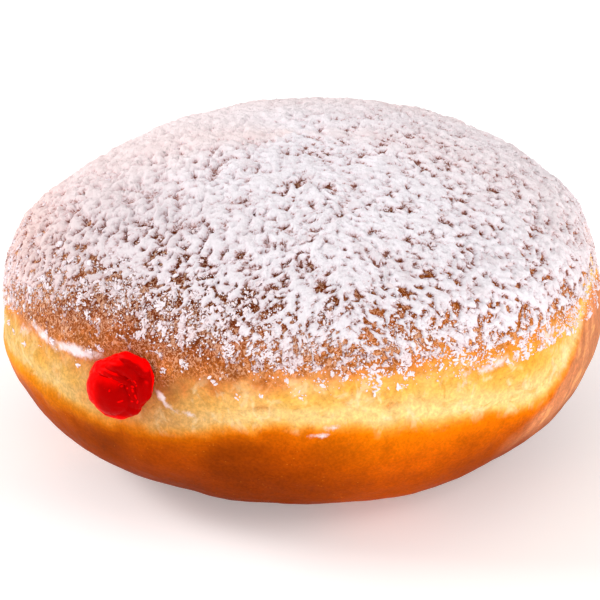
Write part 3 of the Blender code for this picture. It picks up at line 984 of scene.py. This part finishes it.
def dough_material():
    m = Nodes("fried_dough")
    base = m.colour("tone")
    band = m.value("band")
    fine = m.noise(0.9, 5, 0.62)
    coarse = m.noise(3.2, 4, 0.55)
    # fried crust is speckled, the band is nearly plain
    is_band = m.math("MULTIPLY", m.remap(band, -0.15, 0.1), m.remap(band, 1.2, 0.75))
    crust = m.math("SUBTRACT", 1.0, is_band)
    upper = m.remap(band, 0.9, 1.2)
    speck = m.remap(fine, 0.36, 0.66, 0.82, 1.14)
    even = m.math("SUBTRACT", 1.0, upper)
    speck = m.math("ADD", m.math("MULTIPLY", speck, upper), m.math("MULTIPLY", m.math("MULTIPLY", m.remap(fine, 0.3, 0.7, 0.94, 1.06), m.remap(m.noise(0.42, 2, 0.6), 0.3, 0.7, 0.88, 1.12)), even))
    col = m.mix(1.0, base, speck, "MULTIPLY")
    col = m.mix(m.math("MULTIPLY", m.remap(coarse, 0.52, 0.72), m.math("MULTIPLY", crust, 0.20)), col, rgb(110, 40, 4))
    # pale flecks where the lower crust blistered
    blister = m.math("MULTIPLY", m.remap(m.voronoi(0.8), 0.06, 0.17, 1.0, 0.0), m.remap(m.noise(3.0, 2), 0.50, 0.60))
    col = m.mix(m.math("MULTIPLY", blister, m.math("MULTIPLY", m.remap(band, 0.0, -0.3), 0.4)), col, rgb(236, 140, 40))
    # powder caught on the upper crust: a film of fine strokes, some sheer and some solid; the sheer strokes are partly
    # powder and partly painted highlight, and the dark between them is painted shade
    dust = m.value("dust")
    film = flat_strokes(m, 0.85, 0.30, (10, 55, 98, 150))
    sheer = m.remap(m.math("ADD", film, m.math("MULTIPLY", dust, 0.23)), 0.61, 0.75)
    col = m.mix(m.math("MULTIPLY", m.math("MULTIPLY", sheer, upper), 0.66), col, rgb(236, 184, 152))
    # painted shade between the strokes of the film
    shade = m.remap(film, 0.54, 0.62, 1.0, 0.0)
    col = m.mix(m.math("MULTIPLY", m.math("MULTIPLY", shade, upper), 0.6), col, rgb(112, 46, 20))
    solid = m.remap(m.math("ADD", flat_strokes(m, 1.15, 0.36, (-20, 30, 75, 125)), m.math("MULTIPLY", dust, 0.25)), 0.775, 0.825)
    solid = m.math("MULTIPLY", solid, upper)
    col = m.mix(solid, col, rgb(248, 236, 238))
    lively = m.remap(m.value("calm"), 0.0, 1.0, 1.0, 0.2, False)
    crease = m.remap(m.math("MAXIMUM", m.noise(2.6, 3, 0.55, 0.8, (1, 1, 1.8)), m.noise(2.0, 3, 0.55, 1.0, (1, 1, 0.6))), 0.58, 0.72)
    col = m.mix(m.math("MULTIPLY", m.math("MULTIPLY", crease, is_band), m.math("MULTIPLY", lively, 0.5)), col, rgb(246, 168, 66))
    cream = m.remap(m.noise(2.4, 4, 0.6, 0.6, (1, 1, 0.75)), 0.51, 0.66)
    col = m.mix(m.math("MULTIPLY", m.math("MULTIPLY", cream, is_band), m.math("MULTIPLY", lively, 0.55)), col, rgb(255, 230, 182))
    fleck = m.remap(m.noise(0.9, 4, 0.6, 0.4), 0.40, 0.64, 0.925, 1.05)
    fleck = m.math("ADD", m.math("MULTIPLY", fleck, is_band), crust)
    col = m.mix(1.0, col, fleck, "MULTIPLY")
    smear = m.value("smear")
    torn = m.math("ADD", smear, m.math("MULTIPLY", m.math("SUBTRACT", m.noise(0.7, 5, 0.65), 0.5), 1.2))
    smeared = m.remap(torn, 0.22, 0.95)
    col = m.mix(m.math("MULTIPLY", smeared, 0.92), col, rgb(250, 236, 238))
    m.link(col, m.shader.inputs["Base Color"])
    rough = m.math("ADD", m.remap(band, -0.3, 0.2, 0.46, 0.64), m.remap(fine, 0.3, 0.7, -0.06, 0.06))
    m.link(rough, m.shader.inputs["Roughness"])
    b1 = m.bump(fine, 0.25, 0.08)
    b2 = m.bump(m.noise(0.35, 3, 0.6), 0.15, 0.04, b1)
    b3 = m.bump(m.math("MULTIPLY", film, upper), 0.6, 0.5, b2)
    b3 = m.bump(m.math("MULTIPLY", m.math("MULTIPLY", m.math("SUBTRACT", 1.0, crease), is_band), lively), 0.5, 0.25, b3)
    b4 = m.bump(m.math("ADD", smeared, solid), 0.5, 0.12, b3)
    m.link(b4, m.shader.inputs["Normal"])
    m.shader.inputs["Specular IOR Level"].default_value = 0.008
    m.shader.inputs["Subsurface Weight"].default_value = 0.08
    m.shader.inputs["Subsurface Radius"].default_value = (1.0, 0.5, 0.2)
    m.shader.inputs["Subsurface Scale"].default_value = 0.0015
    return m.mat


def sugar_material(name, coat=False):
    m = Nodes(name)
    tint = m.noise(2.6, 3, 0.5)
    col = m.mix(m.remap(tint, 0.35, 0.65), rgb(247, 237, 243), rgb(250, 242, 248))
    grain = m.noise(0.30, 3, 0.65)
    if coat:
        thick, cover, soft = m.value("thick"), m.value("cover"), m.value("soft")
        # where the powder is thin the crust shows through it, and small bare gaps open between its strokes
        lie = flat_strokes(m, 1.0, 0.34, (15, 62, 104, 149))
        body = m.math("ADD", thick, m.math("MULTIPLY", m.math("SUBTRACT", lie, 0.60), 3.0))
        body = m.math("ADD", body, m.math("MULTIPLY", m.math("SUBTRACT", grain, 0.5), 0.5))
        body = m.math("ADD", body, m.math("MULTIPLY", soft, 0.40))
        shape = m.add("ShaderNodeValToRGB")
        ramp_of = shape.color_ramp
        ramp_of.elements[0].position, ramp_of.elements[0].color = 0.0, (*rgb(122, 66, 50), 1)
        ramp_of.elements[1].position, ramp_of.elements[1].color = 0.88, (*rgb(254, 249, 255), 1)
        for at, c in ((0.14, (142, 86, 72)), (0.225, (180, 134, 126)), (0.32, (214, 188, 189)), (0.44, (236, 218, 224)), (0.60, (250, 240, 247))):
            e = ramp_of.elements.new(at)
            e.color = (*rgb(*c), 1)
        m.link(m.remap(body, -0.30, 1.0, 0.0, 1.0, False), shape.inputs["Fac"])
        col = shape.outputs["Color"]
        haze = m.remap(m.noise(3.6, 4, 0.6), 0.46, 0.72, 0.0, 0.20)
        haze = m.math("MULTIPLY", haze, m.remap(soft, 0.0, 1.0, 1.0, 0.35, False))
        col = m.mix(haze, col, rgb(204, 170, 170))
        # painted shade on the left middle of the crown and low on its sides
        col = m.mix(m.value("painted_shade"), col, rgb(168, 138, 136))
        # painted warm rim light, and dough showing through thin sugar
        col = m.mix(m.value("warm_rim_light_and_thin"), col, m.mix(1.0, col, (1.0, 0.80, 0.72), "MULTIPLY"))
        b1 = m.bump(m.noise(1.3, 4, 0.6), 0.42, 0.42)
        b2 = m.bump(lie, 0.7, 0.6, b1)
        b3 = m.bump(m.noise(0.42, 3, 0.6), 0.4, 0.10, b2)
        m.link(b3, m.shader.inputs["Normal"])
    else:
        bit = m.value("bit")
        col = m.mix(m.remap(bit, 0.0, 1.0, 0.22, 0.0), col, rgb(222, 184, 166))
        m.link(m.bump(grain, 0.3, 0.06), m.shader.inputs["Normal"])
    m.link(col, m.shader.inputs["Base Color"])
    m.shader.inputs["Roughness"].default_value = 0.85
    m.shader.inputs["Specular IOR Level"].default_value = 0.1
    return m.mat


def jelly_material():
    m = Nodes("red_jelly")
    thin_and_painted_light = m.value("thin_and_painted_light")
    cloud = m.noise(1.6, 3, 0.5)
    t = m.math("ADD", thin_and_painted_light, m.math("MULTIPLY", m.math("SUBTRACT", cloud, 0.5), 0.35), clamp=True)
    # painted light and shade: lighter red where the mask of painted light is high, darker red elsewhere
    col = m.mix(m.remap(t, 0.05, 0.8), rgb(176, 0, 0), rgb(255, 0, 0))
    # painted glints: small lighter red specks
    spark = m.remap(m.voronoi(0.62), 0.0, 0.13, 1.0, 0.0)
    some = m.remap(m.noise(1.9, 2), 0.54, 0.60)
    col = m.mix(m.math("MULTIPLY", spark, some), col, rgb(255, 20, 14))
    m.link(col, m.shader.inputs["Base Color"])
    m.link(m.remap(cloud, 0.3, 0.7, 0.24, 0.38), m.shader.inputs["Roughness"])
    m.link(m.bump(m.noise(0.8, 3, 0.5), 0.25, 0.12), m.shader.inputs["Normal"])
    m.shader.inputs["Specular IOR Level"].default_value = 0.012
    m.shader.inputs["Subsurface Weight"].default_value = 0.25
    m.shader.inputs["Subsurface Radius"].default_value = (1.0, 0.03, 0.02)
    m.shader.inputs["Subsurface Scale"].default_value = 0.002
    return m.mat


# ------------------------------------------------------------------ put together
dough = build_dough()
dough.data.materials.append(dough_material())
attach(dough, "root")
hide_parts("dough")

COAT = sugar_material("powdered_sugar_coat", True)
BITS = sugar_material("powdered_sugar_bits")
for piece in build_sugar():
    piece.data.materials.append(COAT if piece.name == "sugar_coat" else BITS)
    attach(piece, "root")

jelly = build_jelly()
jelly.data.materials.append(jelly_material())
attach(jelly, "root")
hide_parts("jelly")

# ------------------------------------------------------------------ floor, light, camera
bm = bmesh.new()
bmesh.ops.create_grid(bm, x_segments=8, y_segments=8, size=3.0)
floor_mesh = bpy.data.meshes.new("floor")
bm.to_mesh(floor_mesh)
bm.free()
floor = bpy.data.objects.new("floor", floor_mesh)
bpy.context.scene.collection.objects.link(floor)
fm = Nodes("pale_floor")
fm.shader.inputs["Base Color"].default_value = (0.95, 0.95, 0.95, 1)
fm.shader.inputs["Emission Color"].default_value = (1, 1, 1, 1)
fm.shader.inputs["Emission Strength"].default_value = 0.26
fm.shader.inputs["Roughness"].default_value = 0.9
fm.shader.inputs["Specular IOR Level"].default_value = 0.1
floor.data.materials.append(fm.mat)

world = bpy.data.worlds.new("studio")
bpy.context.scene.world = world
world.use_nodes = True
# a plain pale room, a little brighter towards the horizon
background = world.node_tree.nodes["Background"]
way = world.node_tree.nodes.new("ShaderNodeTexCoord")
parts = world.node_tree.nodes.new("ShaderNodeSeparateXYZ")
fade = world.node_tree.nodes.new("ShaderNodeMapRange")
for socket, v in (("From Min", 0.14), ("From Max", 0.34), ("To Min", 0.88), ("To Max", 0.57)):
    fade.inputs[socket].default_value = v
world.node_tree.links.new(way.outputs["Generated"], parts.inputs["Vector"])
world.node_tree.links.new(parts.outputs["Z"], fade.inputs["Value"])
world.node_tree.links.new(fade.outputs["Result"], background.inputs["Strength"])
background.inputs["Color"].default_value = (1, 1, 1, 1)


def area(name, place, size, power, colour=(1, 1, 1), at=(0, 0, 0.022)):
    light = bpy.data.lights.new(name, "AREA")
    light.shape = "RECTANGLE"
    light.size, light.size_y = size
    light.energy = power
    light.color = colour
    thing = bpy.data.objects.new(name, light)
    thing.location = place
    thing.rotation_euler = (Vector(at) - Vector(place)).to_track_quat("-Z", "Y").to_euler()
    bpy.context.scene.collection.objects.link(thing)
    return thing


AZ, EL, ROLL, DIST = math.radians(36.3), math.radians(25.0), math.radians(1.61), 0.450
back = Vector((math.sin(AZ) * math.cos(EL), -math.cos(AZ) * math.cos(EL), math.sin(EL)))
right = Vector((math.cos(AZ), math.sin(AZ), 0))
up = back.cross(right)


def seen(r, u, b):
    """A point to the camera's right, up and towards it, in metres from the doughnut's middle."""
    flat = Vector((back.x, back.y, 0)).normalized()
    return Vector((0, 0, 0.024)) + right * r + Vector((0, 0, 1)) * u + flat * b


area("key", seen(0.85, 0.60, 0.45), (0.6, 0.6), 3.6, (1.0, 0.985, 0.96))
area("left", seen(-1.05, 0.62, -0.25), (0.5, 0.4), 8.9, (1.0, 0.965, 0.95))
area("front", seen(0.35, 0.18, 1.0), (0.9, 0.5), 2.1, (1.0, 0.98, 0.95))

cam = bpy.data.cameras.new("camera")
cam.sensor_width = 36.0
cam.lens = 3005.0 / 600 * 36.0
cam.clip_start, cam.clip_end = 0.01, 20.0
camera = bpy.data.objects.new("camera", cam)
c, s = math.cos(ROLL), math.sin(ROLL)
rc, uc = right * c - up * s, right * s + up * c
spot = Vector((0, 0, HEIGHT / 2 * MM)) + back * DIST - right * 0.00082 - up * 0.00297
camera.matrix_world = Matrix(((rc.x, uc.x, back.x, spot.x), (rc.y, uc.y, back.y, spot.y), (rc.z, uc.z, back.z, spot.z), (0, 0, 0, 1)))
bpy.context.scene.collection.objects.link(camera)
bpy.context.scene.camera = camera
bpy.context.scene.view_settings.view_transform = "Standard"
